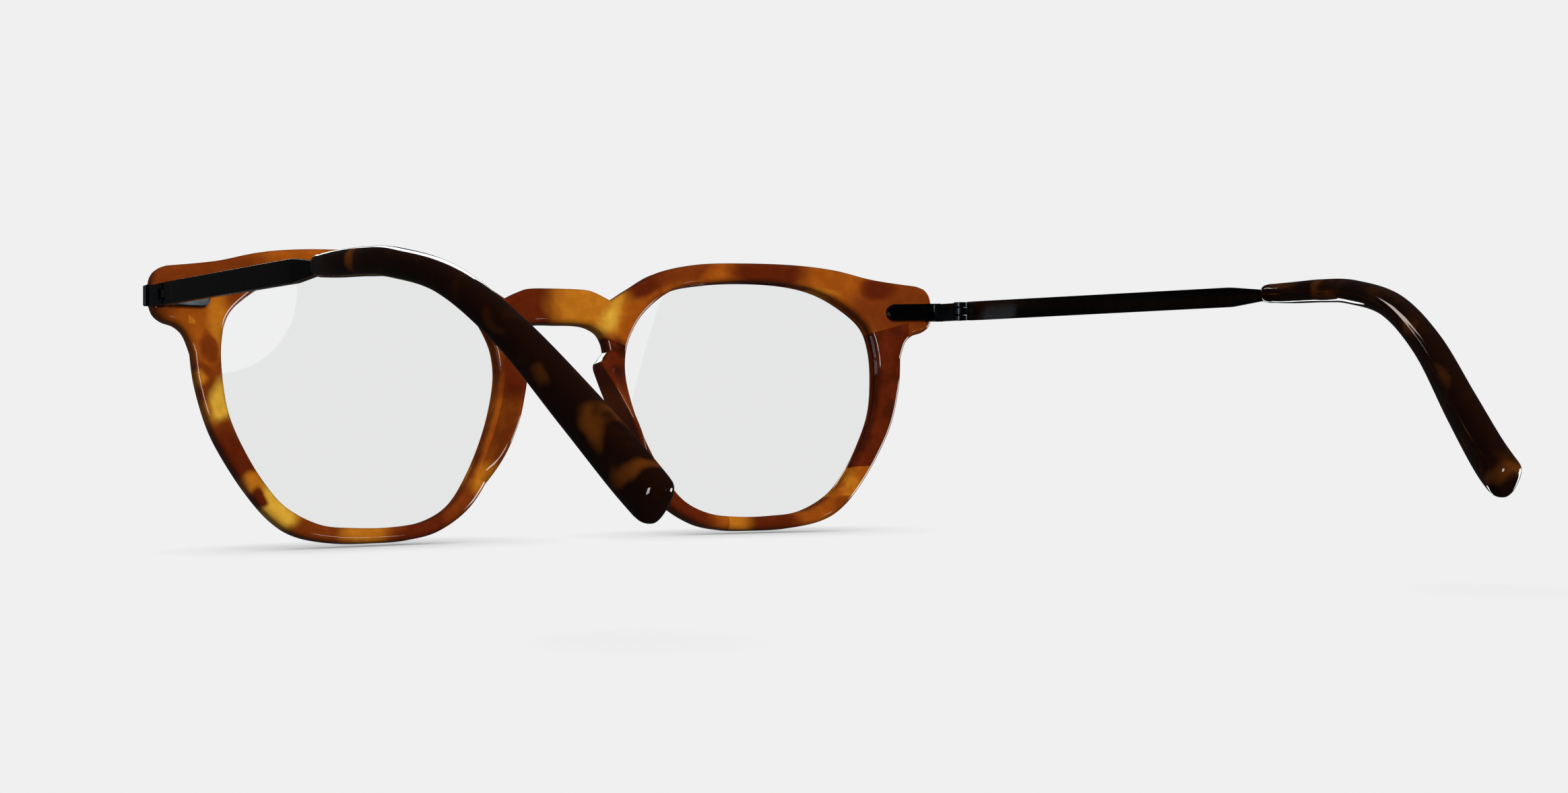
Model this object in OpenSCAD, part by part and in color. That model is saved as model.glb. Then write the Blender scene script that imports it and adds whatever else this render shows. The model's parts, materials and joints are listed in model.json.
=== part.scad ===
// Eyeglasses frame: acetate front with keyhole bridge, demo lenses, bonded nose pads,
// flat metal temples on barrel hinges, and acetate temple tips.
// +X is the wearer's left, -Y is the way the wearer looks, +Z is up. Millimetres.

/* [Front] */
// Thickness of the acetate front
front_t = 4; // [3:0.1:5]
// Radius of the front's wrap around the face
wrap_r = 320; // [250:5:600]
// Lean of the front, top edge forward, in degrees
tilt = 7; // [3:0.5:10]
// Radius of a demo lens's curve
lens_r = 130; // [100:5:200]
// Thickness of a demo lens
lens_t = 1.4; // [1.2:0.1:1.8]
// How far the lens grooves are in front of the middle of the front's thickness
groove_forward = 0.5; // [0:0.1:0.6]
// How far a lens edge sits in its groove
groove_depth = 0.6; // [0.4:0.1:0.8]
// Clearance around a lens in its groove
groove_gap = 0.05; // [0.02:0.01:0.1]

/* [Nose pads] */
// Highest point of a nose pad above the front's back face
pad_h = 4.4; // [2:0.1:5]

/* [Hinges] */
// Distance from the middle of the frame to a hinge's axis
hinge_x = 67.5; // [67:0.1:68]
// Distance from the bridge's back face to the hinge axes
hinge_back = 14.3; // [13.5:0.1:16]
// Height of the plate that is riveted to the front
plate_h = 2.9; // [2.5:0.1:3.2]
// Thickness of that plate
plate_t = 0.9; // [0.6:0.1:1.2]
// Where the plate's rounded inner end is
plate_inner_x = 59; // [57:0.5:60]
// Outer diameter of a hinge barrel
barrel_d = 2.4; // [2.2:0.1:2.8]
// Height of the middle knuckle, on the temple
knuckle_h = 1.2; // [1:0.1:1.5]
// Height of the whole barrel
barrel_h = 3.1; // [3:0.1:3.6]
// Gap between two knuckles
knuckle_gap = 0.1; // [0.05:0.01:0.15]
// Diameter of the hinge screw
screw_d = 1; // [0.8:0.1:1.2]
// Clearance around the screw in the middle knuckle
screw_gap = 0.04; // [0.02:0.01:0.08]
// Diameter of the screw's head
screw_head_d = 1.6; // [1.3:0.1:1.8]

/* [Temples] */
// Thickness of a metal temple
temple_t = 1.2; // [0.9:0.1:1.5]
// Height of a temple at its hinge
temple_h = 3.2; // [3:0.05:4]
// Height of a temple where its taper starts
temple_rear_h = 2.85; // [2.4:0.05:3.2]
// Height of the core that runs on into the acetate tip
core_h = 1.45; // [1.2:0.05:1.8]
// How far the core's middle is below the hinge's middle
core_drop = 0.2; // [0:0.05:0.3]
// Distance from the hinge axis to the start of the taper
taper_back = 67; // [60:1:75]
// How far out from the hinge the middle of the arm is there
taper_side = 2.4; // [1:0.1:3]
// Distance from the hinge axis to the front of the tip
tip_back = 75; // [69:1:80]
// Thickness of an acetate tip
tip_t = 3.6; // [3:0.1:4.5]

/* [Hidden] */

// Colours
honey = [0.62, 0.33, 0.08];
dark_shell = [0.16, 0.07, 0.03];
black_metal = [0.05, 0.06, 0.07];
clear = [0.85, 0.88, 0.88, 0.35];
steel = [0.6, 0.6, 0.62];

// The front's outline, right of centre, in the front's own plane: [sideways, up].
bridge_top = [[0, 17.9], [4.6, 17.8], [6.7, 17.3], [9.4, 16]];
brow = [
    [9.4, 16], [13.2, 18.3], [18.2, 20.95], [25.5, 22.45], [34, 22.75], [43, 22.5],
    [50.5, 21.6], [57.4, 19.9], [65.2, 18.7]
];
end_top = [[65.2, 18.7], [66.6, 18.1], [67.4, 17], [67.7, 15.6]];
end_side = [[67.7, 15.6], [67.7, 13.1]];
end_under = [[67.7, 13.1], [67.1, 11.5], [65.8, 10.5], [63.9, 9.9], [62.5, 8.6], [61.5, 6]];
rim_outer = [
    [61.5, 6], [61, 1.5], [59.5, -4.2], [57.5, -8.6], [53.8, -14.4], [49.8, -19],
    [45.6, -21.5], [39.5, -22.6], [33, -22.7], [27.5, -22.4], [22.4, -21.1], [17.2, -17.6],
    [13.2, -12], [10.2, -5], [7.9, 1.1], [6.7, 4.6]
];
keyhole_step = [[6.7, 4.6], [6.7, 5.6], [7.5, 6.5], [8.4, 7.6]];
keyhole = [[8.4, 7.6], [8.1, 9.2], [7.2, 10.7], [5.4, 11.7], [3.2, 12.05], [0, 12.05]];

// The lens opening, right of centre, in the same plane.
lens_opening = [
    [34, 19.6], [41.5, 19.2], [47.2, 17.9], [52, 15.3], [55.8, 11.8], [57.1, 7.5],
    [57.1, 2], [56.2, -3.5], [53.9, -8.8], [51, -13.5], [47.6, -17.2], [42.3, -19.8],
    [36.5, -20.4], [30.5, -20.4], [24.8, -19.6], [20.2, -17.1], [16.7, -12.3], [13.7, -6.1],
    [11.8, 0], [11.2, 4.8], [12.1, 9.3], [15.1, 14], [20.5, 17.9], [26.8, 19.2]
];
lens_centre = [34.2, 0];

// The centre line of a temple tip, at the wearer's left: [sideways, back, up, height].
// Sideways and up are measured from the hinge's middle, back from the tip's front end.
tip_line = [
    [2, 0, 0.1, 2.6], [1.9, 6, 0, 3], [0.9, 13, -0.05, 3.2], [-0.1, 19.5, -0.5, 3.25],
    [-2.2, 29, -2.7, 3.2], [-5.1, 38.2, -8.1, 3.65], [-8.5, 47, -15.7, 4.8],
    [-10.9, 53.8, -21.7, 5.25], [-12, 58, -24.9, 5.05]
];

// How far the pad's ridge stands off the front, from top to bottom: [up, share of pad_h]
pad_profile = [
    [5.5, 0.15], [2.3, 0.57], [-0.7, 0.82], [-3.9, 1], [-7, 0.93], [-9.5, 0.7], [-12, 0.3], [-13.5, 0.03]
];
// The nose side of the rim and of the opening behind a nose pad: [up, sideways]
pad_nose_side = [[-14, 14.4], [-12, 13.2], [-5, 10.2], [1.1, 7.9], [4.6, 6.7], [5.6, 6.7]];
pad_lens_side = [[-14, 17.9], [-12.3, 16.7], [-6.1, 13.7], [0, 11.8], [4.8, 11.2], [6, 11.3]];

// Derived sizes
step = 5;
rim_low = -min([for (p = rim_outer) p[1]]);
bridge_up = bridge_top[0][1];
front_back_at_lens = sag(lens_centre[0], wrap_r);
eye_level = rim_low * cos(tilt) + (front_t - front_back_at_lens) * sin(tilt);
bridge_front = front_t * cos(tilt) + bridge_up * sin(tilt);

// A lens bulges forward by half of what its edge falls back, so that its edge stays mid-groove.
lens_half_w = 23.6;
lens_half_h = 20.6;
lens_bulge = (sag(lens_half_w, lens_r) - sag(lens_half_w, wrap_r) + sag(lens_half_h, lens_r)) / 2;

hinge_up = 14.6;
hinge_z = eye_level + hinge_up;
tip_length = 59;
bridge_y = -(hinge_back + tip_back + tip_length - bridge_front) / 2;
hinge_y = bridge_y + hinge_back;
leg_outer_x = hinge_x + barrel_d / 2;
leg_front = bridge_y + 5.7;
plate_outer_x = leg_outer_x + 0.5;
plate_up = (hinge_up - sag(64, wrap_r) * sin(tilt)) / cos(tilt);
shoulder = barrel_d / 2 + 0.6;
overlap = 0.1;
rivet_d = 1.2;
rivet_depth = 1.8;
rivet_places = [plate_inner_x + 2.2, plate_inner_x + 6.2];
screw_head_h = 0.35;
slot_w = 0.3;
slot_depth = 0.15;
bend_groove_w = 0.5;
bend_groove_depth = 0.3;

// How far a circle of radius r falls back at a distance from its middle.
function sag(x, r) = x * x / (2 * r);
function unit(v) = v / norm(v);

// A smooth curve through points: Catmull-Rom, open or closed.
function bend(a, b, c, d, t) =
    0.5 * (2 * b + (c - a) * t + (2 * a - 5 * b + 4 * c - d) * t * t + (3 * b - a - 3 * c + d) * t * t * t);
function open_curve(p, n = step) = [
    for (i = [0:len(p) - 2], k = [0:n - 1])
        bend(p[max(i - 1, 0)], p[i], p[i + 1], p[min(i + 2, len(p) - 1)], k / n)
];
function closed_curve(p, n = step) = [
    for (i = [0:len(p) - 1], k = [0:n - 1])
        bend(p[(i + len(p) - 1) % len(p)], p[i], p[(i + 1) % len(p)], p[(i + 2) % len(p)], k / n)
];
// The same curve as open_curve, with its last point.
function whole_curve(p, n = step) = concat(open_curve(p, n), [p[len(p) - 1]]);

// A closed outline moved outwards by d; the outline runs clockwise.
function grow(p, d) = [
    for (i = [0:len(p) - 1])
        let (v = unit(p[(i + 1) % len(p)] - p[(i + len(p) - 1) % len(p)]))
        p[i] + d * [-v[1], v[0]]
];
function mirrored(p) = [for (i = [len(p) - 1:-1:0]) [-p[i][0], p[i][1]]];
function half_outline() = concat(
    open_curve(bridge_top), open_curve(brow), open_curve(end_top, 4), open_curve(end_side, 1),
    open_curve(end_under, 4), open_curve(rim_outer), open_curve(keyhole_step, 3), whole_curve(keyhole)
);

module place_front() {
    translate([0, bridge_y, eye_level]) rotate([tilt, 0, 0]) children();
}
// What is drawn for the wearer's left is mirrored for the wearer's right.
module on_side(side) {
    if (side > 0) children();
    else mirror([1, 0, 0]) children();
}
// A flat outline made solid from one depth to another.
module slab(outline, from_y, to_y) {
    translate([0, to_y, 0]) rotate([90, 0, 0]) linear_extrude(to_y - from_y) polygon(outline);
}
// The curved sheet between two distances behind the front's back face.
module wrapped(from_y, to_y) {
    half_height = 30;
    difference() {
        translate([0, wrap_r, -half_height]) cylinder(r = wrap_r - from_y, h = 2 * half_height, $fn = 720);
        translate([0, wrap_r, -half_height - 1]) cylinder(r = wrap_r - to_y, h = 2 * half_height + 2, $fn = 720);
    }
}
// A solid swept through rings that all have n points.
module sweep(rings) {
    n = len(rings[0]);
    last = len(rings) - 1;
    points = [for (r = rings) for (p = r) p];
    sides = [
        for (i = [0:last - 1], k = [0:n - 1])
            let (a = i * n + k, b = i * n + (k + 1) % n)
            for (f = [[a, a + n, b + n], [a, b + n, b]]) f
    ];
    polyhedron(
        points,
        concat(sides, [[for (k = [0:n - 1]) k]], [[for (k = [n - 1:-1:0]) last * n + k]]),
        convexity = 6
    );
}

// A lens blank, in the front's own plane; fat makes the groove that it sits in.
module lens_blank(fat) {
    lean = asin(lens_centre[0] / wrap_r);
    middle = front_back_at_lens - front_t / 2 - groove_forward - lens_bulge;
    intersection() {
        slab(grow(closed_curve(lens_opening), groove_depth + fat), -9, 9);
        translate([lens_centre[0], middle, lens_centre[1]]) rotate([0, 0, lean]) translate([0, lens_r, 0])
            difference() {
                sphere(r = lens_r + lens_t / 2 + fat, $fn = 240);
                sphere(r = lens_r - lens_t / 2 - fat, $fn = 240);
            }
    }
}

module front_frame() {
    half = half_outline();
    color(honey) place_front() difference() {
        intersection() {
            slab(concat(half, mirrored(half)), -8, 12);
            wrapped(-front_t, 0);
        }
        for (side = [1, -1]) on_side(side) {
            slab(closed_curve(lens_opening), -12, 14);
            lens_blank(groove_gap);
            for (x = rivet_places) rivet_shape(x, 0.02);
        }
    }
}

module lens(side) {
    color(clear) place_front() on_side(side) lens_blank(0);
}

// One row across a nose pad: [share of the way to the lens, share of the height].
pad_section = [[0, 0], [0, 0.7], [0.1, 1], [0.4, 0.8], [0.7, 0.4], [1, 0]];
function pad_row(up, tall) =
    let (nose = lookup(up, pad_nose_side) + 0.02, across = lookup(up, pad_lens_side) - 0.7 - nose)
    [
        for (p = pad_section)
            let (x = nose + p[0] * across)
            [x, p[1] * tall + sag(x, wrap_r), up]
    ];

module nose_pad(side) {
    color(honey) place_front() on_side(side)
        sweep([for (p = whole_curve(pad_profile, 3)) pad_row(p[0], p[1] * pad_h)]);
}

// A rivet through the hinge plate into the front, in the front's own plane.
module rivet_shape(x, fat) {
    translate([x, sag(x, wrap_r), plate_up]) rotate([90, 0, asin(x / wrap_r)])
        translate([0, 0, overlap - plate_t]) cylinder(d = rivet_d + 2 * fat, h = plate_t + rivet_depth, $fn = 32);
}

module bracket_rivets(side) {
    color(steel) place_front() on_side(side) for (x = rivet_places) rivet_shape(x, 0);
}

// A knuckle: a round barrel with the web that joins it to its strip.
module knuckle(low, high, web_y) {
    translate([hinge_x, hinge_y, hinge_z + low]) cylinder(d = barrel_d, h = high - low, $fn = 64);
    translate([leg_outer_x - temple_t, hinge_y + min(web_y, 0), hinge_z + low])
        cube([temple_t, abs(web_y), high - low]);
}

// The plate's outline in the front's own plane: a round inner end and a square outer one.
function plate_outline(radius) = concat(
    [for (a = [90:10:270]) [plate_inner_x + radius + radius * cos(a), plate_up + radius * sin(a)]],
    [[plate_outer_x, plate_up - radius], [plate_outer_x, plate_up + radius]]
);

module hinge_bracket(side) {
    half_h = barrel_h / 2;
    ear_start = knuckle_h / 2 + knuckle_gap;
    color(black_metal) on_side(side) difference() {
        union() {
            place_front() intersection() {
                slab(plate_outline(plate_h / 2), -4, 14);
                wrapped(0, plate_t);
            }
            translate([leg_outer_x - temple_t, leg_front, hinge_z - half_h])
                cube([temple_t, hinge_y - shoulder - leg_front, barrel_h]);
            knuckle(ear_start, half_h, -shoulder - overlap);
            knuckle(-half_h, -ear_start, -shoulder - overlap);
        }
        translate([hinge_x, hinge_y, hinge_z - barrel_h]) cylinder(d = screw_d, h = 2 * barrel_h, $fn = 48);
        translate([hinge_x, hinge_y, hinge_z + half_h - screw_head_h]) cylinder(d = screw_head_d, h = 1, $fn = 48);
        translate([leg_outer_x - bend_groove_depth, leg_front + 1, hinge_z - barrel_h])
            cube([1, bend_groove_w, 2 * barrel_h]);
        place_front() for (x = rivet_places) rivet_shape(x, 0);
    }
}

module hinge_screw(side) {
    half_h = barrel_h / 2;
    color(steel) on_side(side) translate([hinge_x, hinge_y, hinge_z]) difference() {
        union() {
            translate([0, 0, -half_h]) cylinder(d = screw_d, h = barrel_h - screw_head_h, $fn = 48);
            translate([0, 0, half_h - screw_head_h]) cylinder(d = screw_head_d, h = screw_head_h, $fn = 48);
        }
        translate([-slot_w / 2, -1, half_h - slot_depth]) cube([slot_w, 2, 1]);
    }
}

// The tip's centre line in place, and its height at each point.
tip_start = [hinge_x, hinge_y + tip_back, hinge_z];
tip_curve = whole_curve(tip_line);
tip_path = [for (p = tip_curve) tip_start + [p[0], p[1], p[2]]];
tip_last = len(tip_path) - 1;

// The direction of the path at one of its points, and the two directions across it.
function along(i) = unit(tip_path[min(i + 1, tip_last)] - tip_path[max(i - 1, 0)]);
function sideways(i) = unit([along(i)[1], -along(i)[0], 0]);
function upwards(i) = cross(sideways(i), along(i));

// A ring across the tip: an oval with slightly flattened sides, smaller at the two ends.
ring_points = 16;
flatness = 0.85;
end_scale = [0.68, 0.92, 0.98];
function flattened(v) = sign(v) * pow(abs(v), flatness);
function tip_scale(i) = i == 0 ? 0.85 : tip_last - i < len(end_scale) ? end_scale[tip_last - i] : 1;
function tip_ring(i) =
    let (wide = sideways(i) * tip_t / 2 * tip_scale(i), tall = upwards(i) * tip_curve[i][3] / 2 * tip_scale(i))
    [
        for (k = [0:ring_points - 1])
            let (a = -360 * k / ring_points)
            tip_path[i] + wide * flattened(cos(a)) + tall * flattened(sin(a))
    ];

// The flat core inside the tip, which stops short of the tip's end.
corners = [[1, 1], [1, -1], [-1, -1], [-1, 1]];
core_last = tip_last - 11;
module core(fat) {
    sweep([
        for (i = [0:core_last])
            let (wide = sideways(i) * (temple_t / 2 + fat), tall = upwards(i) * (core_h / 2 + fat))
            [for (c = corners) tip_path[i] - [0, 0, core_drop] + wide * c[0] + tall * c[1]]
    ]);
}

module temple_tip(side) {
    color(dark_shell) on_side(side) difference() {
        sweep([for (i = [0:tip_last]) tip_ring(i)]);
        core(0.03);
    }
}

module temple_arm(side) {
    x_front = leg_outer_x - temple_t / 2;
    core_start = tip_path[0] - [0, 0, core_drop];
    // Along the arm: [place, height]
    stations = [
        [[x_front, hinge_y + shoulder, hinge_z], temple_h],
        [[hinge_x + taper_side, hinge_y + taper_back, hinge_z - core_drop / 2], temple_rear_h],
        [core_start, core_h]
    ];
    color(black_metal) on_side(side) union() {
        sweep([
            for (s = stations)
                [for (c = corners) s[0] + [c[0] * temple_t / 2, 0, c[1] * s[1] / 2]]
        ]);
        core(0);
        difference() {
            knuckle(-knuckle_h / 2, knuckle_h / 2, shoulder + overlap);
            translate([hinge_x, hinge_y, hinge_z - barrel_h])
                cylinder(d = screw_d + 2 * screw_gap, h = 2 * barrel_h, $fn = 48);
        }
    }
}

front_frame();
lens(1);  // lens_left
lens(-1);  // lens_right
nose_pad(1);  // nose_pad_left
nose_pad(-1);  // nose_pad_right
hinge_bracket(1);  // hinge_bracket_left
hinge_bracket(-1);  // hinge_bracket_right
bracket_rivets(1);  // bracket_rivets_left
bracket_rivets(-1);  // bracket_rivets_right
temple_arm(1);  // temple_arm_left
temple_arm(-1);  // temple_arm_right
temple_tip(1);  // temple_tip_left
temple_tip(-1);  // temple_tip_right
hinge_screw(1);  // hinge_screw_left
hinge_screw(-1);  // hinge_screw_right
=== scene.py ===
"""Eyeglasses frame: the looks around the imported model. Lengths are millimetres until a mesh is made."""
import json
import math

import bmesh
import bpy
import numpy as np
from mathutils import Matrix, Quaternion, Vector
from mathutils.geometry import delaunay_2d_cdt


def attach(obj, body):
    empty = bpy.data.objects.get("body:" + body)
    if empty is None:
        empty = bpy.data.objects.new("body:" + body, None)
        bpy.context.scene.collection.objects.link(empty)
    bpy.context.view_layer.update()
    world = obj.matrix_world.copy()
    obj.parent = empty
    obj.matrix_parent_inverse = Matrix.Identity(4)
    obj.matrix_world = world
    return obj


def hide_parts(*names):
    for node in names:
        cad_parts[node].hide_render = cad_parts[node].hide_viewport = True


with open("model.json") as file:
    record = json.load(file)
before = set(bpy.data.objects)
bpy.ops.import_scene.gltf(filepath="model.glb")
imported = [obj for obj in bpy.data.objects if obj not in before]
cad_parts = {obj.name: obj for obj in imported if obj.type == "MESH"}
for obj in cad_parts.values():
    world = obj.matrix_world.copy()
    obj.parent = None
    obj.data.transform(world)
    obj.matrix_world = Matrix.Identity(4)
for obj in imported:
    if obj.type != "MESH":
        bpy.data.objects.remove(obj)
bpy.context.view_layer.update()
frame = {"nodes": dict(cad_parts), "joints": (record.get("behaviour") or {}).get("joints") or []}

MM = 0.001
SIDES = {"left": 1, "right": -1}  # the wearer's left is +X

# ---------------------------------------------------------------- sizes, as in the CAD
FRONT_T = 4.0
WRAP_R = 320.0
TILT = math.radians(7)
HINGE_BACK = 14.3  # from the bridge's back face to the hinge axis
HINGE_UP = 14.6  # the hinge over eye level
hinge = next(j for j in frame["joints"] if j["name"] == "left_temple_fold")
HINGE_X, HINGE_Y, HINGE_Z = (round(v / MM, 4) for v in hinge["pos_m"])
BRIDGE_Y = HINGE_Y - HINGE_BACK
EYE_LEVEL = HINGE_Z - HINGE_UP

LENS_R = 130.0
LENS_T = 1.4
LENS_CENTRE_X = 34.2
LENS_HALF_W = 23.6
LENS_HALF_H = 20.6
GROOVE_DEPTH = 0.6
GROOVE_FORWARD = 0.5
GROOVE_GAP = 0.05

BARREL_D = 2.4
BARREL_H = 3.1
KNUCKLE_H = 1.2
KNUCKLE_GAP = 0.1
SHOULDER = BARREL_D / 2 + 0.6  # from the hinge axis to the full height of arm and leg
ARM_T = 1.2
ARM_H = 3.2
ARM_REAR_H = 2.85
CORE_H = 1.45
CORE_DROP = 0.2
CORE_SHARE = 0.7  # of the tip's line, as far as the shown core goes
TAPER_BACK = 67.0
TAPER_SIDE = 2.4  # how far outward the arm has gone where it starts to narrow
TAPER_SHARES = (0.04, 0.25, 0.5, 0.75, 0.95, 1.0)
TIP_BACK = 75.0
TIP_T = 3.6
TIP_FRONT_SHARE = 0.76  # of that thickness, at a tip's front end
LEG_OUTER_X = HINGE_X + BARREL_D / 2
LEG_FRONT = BRIDGE_Y + 5.7
BEND_GROOVE = 0.3  # depth of the groove where the plate turns into the leg
PLATE_T = 0.9
PLATE_H = 2.9
PLATE_INNER_X = 59.0
PLATE_MIDDLE_X = 64.0
PLATE_SUNK = 0.05  # how far the plate reaches into the acetate
PLATE_OUTER_X = LEG_OUTER_X + 0.5
LEG_ROOT_X = 66.0

# The front's outline, right of centre, in the front's own plane: [sideways, up]
BRIDGE_TOP = [(0, 17.9), (4.6, 17.8), (6.7, 17.3), (9.4, 16)]
BROW = [
    (9.4, 16), (13.2, 18.3), (18.2, 20.95), (25.5, 22.45), (34, 22.75), (43, 22.5),
    (50.5, 21.6), (57.4, 19.9), (65.2, 18.7),
]
END_TOP = [(65.2, 18.7), (66.6, 18.1), (67.4, 17), (67.7, 15.6)]
END_SIDE = [(67.7, 15.6), (67.7, 13.1)]
END_UNDER = [(67.7, 13.1), (67.1, 11.5), (65.8, 10.5), (63.9, 9.9), (62.5, 8.6), (61.5, 6)]
RIM_OUTER = [
    (61.5, 6), (61, 1.5), (59.5, -4.2), (57.5, -8.6), (53.8, -14.4), (49.8, -19),
    (45.6, -21.5), (39.5, -22.6), (33, -22.7), (27.5, -22.4), (22.4, -21.1), (17.2, -17.6),
    (13.2, -12), (10.2, -5), (7.9, 1.1), (6.7, 4.6),
]
KEYHOLE_STEP = [(6.7, 4.6), (6.7, 5.6), (7.5, 6.5), (8.4, 7.6)]
KEYHOLE = [(8.4, 7.6), (8.1, 9.2), (7.2, 10.7), (5.4, 11.7), (3.2, 12.05), (0, 12.05)]
LENS_OPENING = [
    (34, 19.6), (41.5, 19.2), (47.2, 17.9), (52, 15.3), (55.8, 11.8), (57.1, 7.5),
    (57.1, 2), (56.2, -3.5), (53.9, -8.8), (51, -13.5), (47.6, -17.2), (42.3, -19.8),
    (36.5, -20.4), (30.5, -20.4), (24.8, -19.6), (20.2, -17.1), (16.7, -12.3), (13.7, -6.1),
    (11.8, 0), (11.2, 4.8), (12.1, 9.3), (15.1, 14), (20.5, 17.9), (26.8, 19.2),
]
# The height of a nose pad's ridge behind the front, from top to bottom: [up, height]
PAD_RIDGE = [
    (6.8, -1.2), (5.6, 0.5), (2.3, 2.5), (-0.7, 3.6), (-3.9, 4.4), (-7, 4.1), (-9.5, 3.1),
    (-12, 1.3), (-13.8, -0.3), (-14.8, -1.2),
]
# The centre line of a temple tip, at the wearer's left: [sideways, back, up, height]
TIP_LINE = [
    (2, 0, 0.1, 2.6), (1.9, 6, 0, 3), (0.9, 13, -0.05, 3.2), (-0.1, 19.5, -0.5, 3.25),
    (-2.2, 29, -2.7, 3.2), (-5.1, 38.2, -8.1, 3.65), (-8.5, 47, -15.7, 4.8),
    (-10.9, 53.8, -21.7, 5.25), (-12, 58, -24.9, 5.05),
]

# Edge roundings of the front, and the angles round them at which a ring of points lies
OUTER_ROUND = 1.0
OPENING_ROUND = 0.8
FRONT_ROUND = 0.9
LIP_ROUND = 0.35
ROUNDING_ANGLES = (14, 27, 40, 53, 66, 78, 90)
# How far a point of a ring may stray from it, and how far it stays from the other edge's rounding
RING_SLACK = 0.004
RING_CLEARANCE = 0.02
# Directions of the fan of points at the sharp notch beside the bridge, in degrees
NOTCH_FAN = range(-110, -69, 8)
# The grid of points inside the front's face, and how near to the roundings it may come
GRID_SPACING = 0.9
GRID_ROW = 0.87  # row pitch as a share of the spacing
GRID_CLEARANCE = 0.25
GRID_HALF_HEIGHT = 24
GRID_WIDTH = 69
# Points this near to the mirror plane are put on it
SEAM_SNAP = 0.02


# ---------------------------------------------------------------- curves and meshes
def smooth_curve(points, steps, closed=False):
    """Catmull-Rom through points, as the CAD draws it."""
    p = np.array(points, float)
    n = len(p)
    out = []
    for i in range(n if closed else n - 1):
        if closed:
            a, b, c, d = (p[(i + k) % n] for k in (-1, 0, 1, 2))
        else:
            a, b, c, d = p[max(i - 1, 0)], p[i], p[i + 1], p[min(i + 2, n - 1)]
        for t in np.arange(steps) / steps:
            out.append(0.5 * (2 * b + (c - a) * t + (2 * a - 5 * b + 4 * c - d) * t**2
                              + (3 * b - a - 3 * c + d) * t**3))
    return out if closed else out + [p[-1]]


def join_curves(*curves):
    """Curves end to end, without the points they share."""
    out = list(curves[0])
    for curve in curves[1:]:
        out += list(curve)[1:]
    return np.array(out)


def make_piece(name, points, faces, side=1, crease=35):
    """A closed mesh object from points in millimetres, mirrored for the wearer's right."""
    mesh = bpy.data.meshes.new(name)
    mesh.from_pydata([(side * x * MM, y * MM, z * MM) for x, y, z in points], [], faces)
    bm = bmesh.new()
    bm.from_mesh(mesh)
    bmesh.ops.remove_doubles(bm, verts=bm.verts, dist=1e-7)
    bmesh.ops.recalc_face_normals(bm, faces=bm.faces)
    bm.to_mesh(mesh)
    bm.free()
    for polygon in mesh.polygons:
        polygon.use_smooth = True
    mesh.set_sharp_from_angle(angle=math.radians(crease))
    piece = bpy.data.objects.new(name, mesh)
    bpy.context.scene.collection.objects.link(piece)
    return piece


def tube_faces(rings, around):
    """Quads between rings of points, each with the same number around, and a cap at each end."""
    faces = []
    for i in range(rings - 1):
        for k in range(around):
            a, b = i * around + k, i * around + (k + 1) % around
            faces.append((a, b, b + around, a + around))
    faces.append(tuple(range(around)))
    faces.append(tuple((rings - 1) * around + k for k in reversed(range(around))))
    return faces


def smoothstep(low, high, value):
    """0 below low, 1 above high, smooth between."""
    t = min(max((value - low) / (high - low), 0), 1)
    return t * t * (3 - 2 * t)


def on_front(x, up, depth):
    """A place on the front: depth is forward of its back face, along the wrap's radius."""
    back = WRAP_R - math.sqrt((WRAP_R + depth) ** 2 - x * x)
    return (
        x,
        back * math.cos(TILT) - up * math.sin(TILT) + BRIDGE_Y,
        back * math.sin(TILT) + up * math.cos(TILT) + EYE_LEVEL,
    )


def sag(x, radius):
    """How far a curve of this radius has fallen back at a distance x from its middle."""
    return x * x / (2 * radius)


# ---------------------------------------------------------------- the front
half_outline = join_curves(
    smooth_curve(BRIDGE_TOP, 10), smooth_curve(BROW, 12), smooth_curve(END_TOP, 6),
    smooth_curve(END_SIDE, 5), smooth_curve(END_UNDER, 6), smooth_curve(RIM_OUTER, 11),
    smooth_curve(KEYHOLE_STEP, 6), smooth_curve(KEYHOLE, 8),
)
opening = np.array(smooth_curve(LENS_OPENING, 10, closed=True))


def normals_of(points, closed):
    """The direction to the right of a line of points, at each of them."""
    if closed:
        along = np.roll(points, -1, 0) - np.roll(points, 1, 0)
    else:
        flip = np.array([-1, 1])
        line = np.vstack([points[1] * flip, points, points[-2] * flip])
        along = line[2:] - line[:-2]
    along /= np.linalg.norm(along, axis=1)[:, None]
    return np.column_stack([along[:, 1], -along[:, 0]])


def distance_to(line, points, closed):
    """The distance from each point to a line of points."""
    a = line if closed else line[:-1]
    b = np.roll(line, -1, 0) if closed else line[1:]
    ab = b - a
    best = np.full(len(points), 1e9)
    for start, step in zip(a, ab):
        t = np.clip(((points - start) @ step) / (step @ step), 0, 1)
        best = np.minimum(best, np.linalg.norm(points - start - t[:, None] * step, axis=1))
    return best


def inside(polygon, points):
    """Which points a closed polygon holds."""
    x, y = points[:, 0], points[:, 1]
    held = np.zeros(len(points), bool)
    for (x0, y0), (x1, y1) in zip(polygon, np.roll(polygon, -1, 0)):
        if y0 != y1:
            held ^= ((y0 > y) != (y1 > y)) & (x < (x1 - x0) * (y - y0) / (y1 - y0) + x0)
    return held


def rounded(distance, radius):
    """How far a rounded edge falls away at a distance in from the wall."""
    d = np.clip(distance, 0, radius)
    return radius - np.sqrt(np.maximum(radius**2 - (radius - d) ** 2, 0))


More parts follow.
